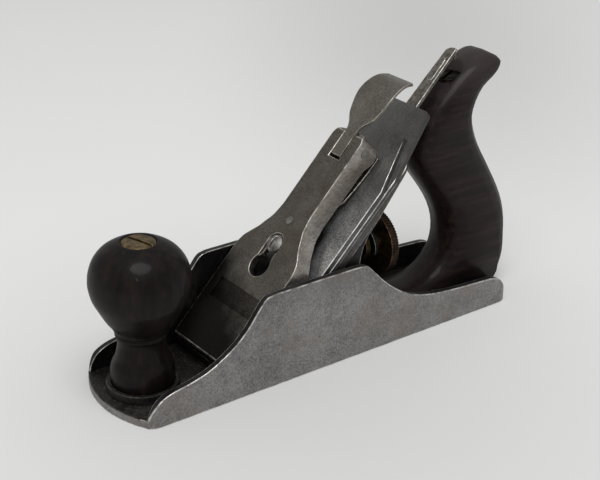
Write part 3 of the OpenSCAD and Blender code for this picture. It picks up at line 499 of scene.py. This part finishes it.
def rosewood(name, grain, turn, tones):
    """Old polished rosewood with a painted sheen on the top of the handle; grain stretches its
    figure, turn leans it, tones are its four browns from dark to light."""
    f = Finish(name, Specular_IOR_Level=0.07, Coat_Roughness=0.13)
    lay = f.at.stretched(grain, turn)
    figure = lay.cloud(3.2, 4, 0.62)
    line = lay.cloud(0.55, 3, 0.6)
    pore = lay.cloud(0.3, 2, 0.5).between(0.64, 0.72)
    wear = f.at.cloud(15, 3, 0.5)
    rings = figure + line*0.25 - 0.12
    colour = rings.node("ValToRGB", {"stops": list(zip((0.34, 0.5, 0.62, 0.78), tones))},
                        {0: rings})
    # Painted sheen: above 100 mm, the top of the handle, the colour turns a lighter grey brown.
    colour = (f.at.axis("Z").between(100, 118)*0.55).blend(colour, tone(66, 60, 60))
    f.put("Base Color", (pore*0.6).blend(colour, tone(7, 6, 6)))
    f.put("Coat Weight", 0.07 + wear.between(0.3, 0.7)*0.08)
    f.put("Roughness", 0.34 + wear*0.2 + pore*0.1)
    f.put("Normal", (line*0.35 - pore*0.6 + wear*0.5).bump(0.05))
    return f.material


knob_rosewood = rosewood("knob rosewood", (1, 1, 0.12), 0, (
    tone(15, 12, 12), tone(22, 17, 17), tone(29, 22, 20), tone(40, 29, 24)))
handle_rosewood = rosewood("handle rosewood", (0.1, 1, 1), 8, (
    tone(24, 18, 18), tone(31, 24, 23), tone(40, 31, 29), tone(54, 39, 33)))
for node, name, finish in (("knob", "knob_wood", knob_rosewood),
                           ("tote", "handle_wood", handle_rosewood)):
    piece = fresh_copy(node, name, [finish], 40)
nut_brass = old_brass("nut brass", tone(78, 67, 48), tone(128, 110, 80), tone(52, 43, 31))
# The handle's sunk nut gets a near-black copy of the brass, painted shade in its recess.
nut_brass_in_shade = old_brass("sunk nut brass", tone(19, 16, 12), tone(38, 31, 22), tone(12, 10, 8))
nut_edge = old_brass("rubbed nut brass", tone(96, 82, 57), tone(160, 138, 98),
                     tone(64, 53, 37))
for node, finishes in (("knob_nut", [nut_brass, nut_edge]), ("tote_nut", [nut_brass_in_shade])):
    piece = worn_copy(node, node + "_brass", 0.0002, finishes)
for node in ("knob_bolt", "tote_bolt"):
    piece = worn_copy(node, node + "_steel", 0.0002, [screw_steel, rubbed_iron])

# The studio is a pale sheet of paper under soft light from above, with the camera at
# the photograph's own angle and distance.

paper = Finish("pale paper", roughness=0.9, Specular_IOR_Level=0.2)
lay = paper.at.node("Mapping", {}, {"Vector": paper.at, "Rotation": (0, 0, math.radians(37))})
away = lay.axis("Y")


def soft_shade(place, along, reach):
    """1 at this place on the paper and 0 beyond reach millimetres from it."""
    scaled = lay.node("VectorMath", {"operation": "MULTIPLY"}, {0: lay, 1: along})
    gap = lay.node("VectorMath", {"operation": "DISTANCE"}, {0: scaled, 1: place}, "Value")
    return 1 - gap.between(0, reach)


def shaded(near, far):
    """The paper's tone with painted light and shade: lighter away from the plane's front, with
    painted shadows behind and round the plane and painted shade far off.
    """
    shade_behind = soft_shade((87, 186, 0), (1, 0.433, 0), 198)*0.188
    shade_round = soft_shade((0, -60, 0), (1, 1, 0), 249)*0.17
    shade_far_off = away.between(480, 696)*0.038
    colour = away.between(-383, 180).blend(near, far)
    for shade in (shade_behind, shade_round, shade_far_off):
        colour = shade.blend(colour, tone(0, 0, 0))
    return colour


paper.put("Base Color", shaded(tone(230, 230, 229), tone(240, 240, 239)))
# For the camera the paper also glows with a quarter of its tone, painted light that pales the
# shadows on it.
seen = paper.at.node("LightPath", {}, {}, "Is Camera Ray")
glow = paper.at.node("Emission", {}, {"Color": shaded(tone(224, 225, 224), tone(234, 235, 234)),
                                      "Strength": 1.0})
mixed = seen.node("MixShader", {}, {0: seen*0.25, 1: Value(
    seen.tree, paper.shader.outputs[0]), 2: glow})
seen.tree.links.new(mixed.socket, seen.tree.nodes["Material Output"].inputs["Surface"])
floor_mesh = bpy.data.meshes.new("floor")
floor_mesh.from_pydata([(-4, -4, 0), (4, -4, 0), (4, 4, 0), (-4, 4, 0)], [], [(0, 1, 2, 3)])
floor_mesh.materials.append(paper.material)
floor = bpy.data.objects.new("floor", floor_mesh)
bpy.context.scene.collection.objects.link(floor)

world = bpy.data.worlds.new("studio air")
bpy.context.scene.world = world
world.use_nodes = True
world.node_tree.nodes["Background"].inputs["Color"].default_value = (0.69, 0.695, 0.69, 1)
world.node_tree.nodes["Background"].inputs["Strength"].default_value = 0.7


def lamp(name, place, towards, size, watts):
    """A round soft lamp that faces a point."""
    data = bpy.data.lights.new(name, "AREA")
    data.shape = "DISK"
    data.size = size
    data.energy = watts
    made = bpy.data.objects.new(name, data)
    bpy.context.scene.collection.objects.link(made)
    made.location = place
    made.rotation_euler = (Vector(place) - Vector(towards)).to_track_quat("Z", "Y").to_euler()
    return made


lamp("overhead lamp", (-0.26, -0.38, 1.15), (0, 0, 0.03), 0.8, 7.5)
lamp("small front lamp", (-0.3815, -0.386, 0.413), (-0.094, 0, 0.054), 0.012, 0.1)

camera = bpy.data.objects.new("camera", bpy.data.cameras.new("camera"))
bpy.context.scene.collection.objects.link(camera)
camera.location = (-0.36104, -0.45627, 0.32322)
camera.rotation_euler = [math.radians(a) for a in (64.66052, -1.04119, -36.99799)]
camera.data.lens = 85.385
camera.data.clip_start = 0.01
bpy.context.scene.camera = camera
bpy.context.scene.view_settings.view_transform = "Standard"
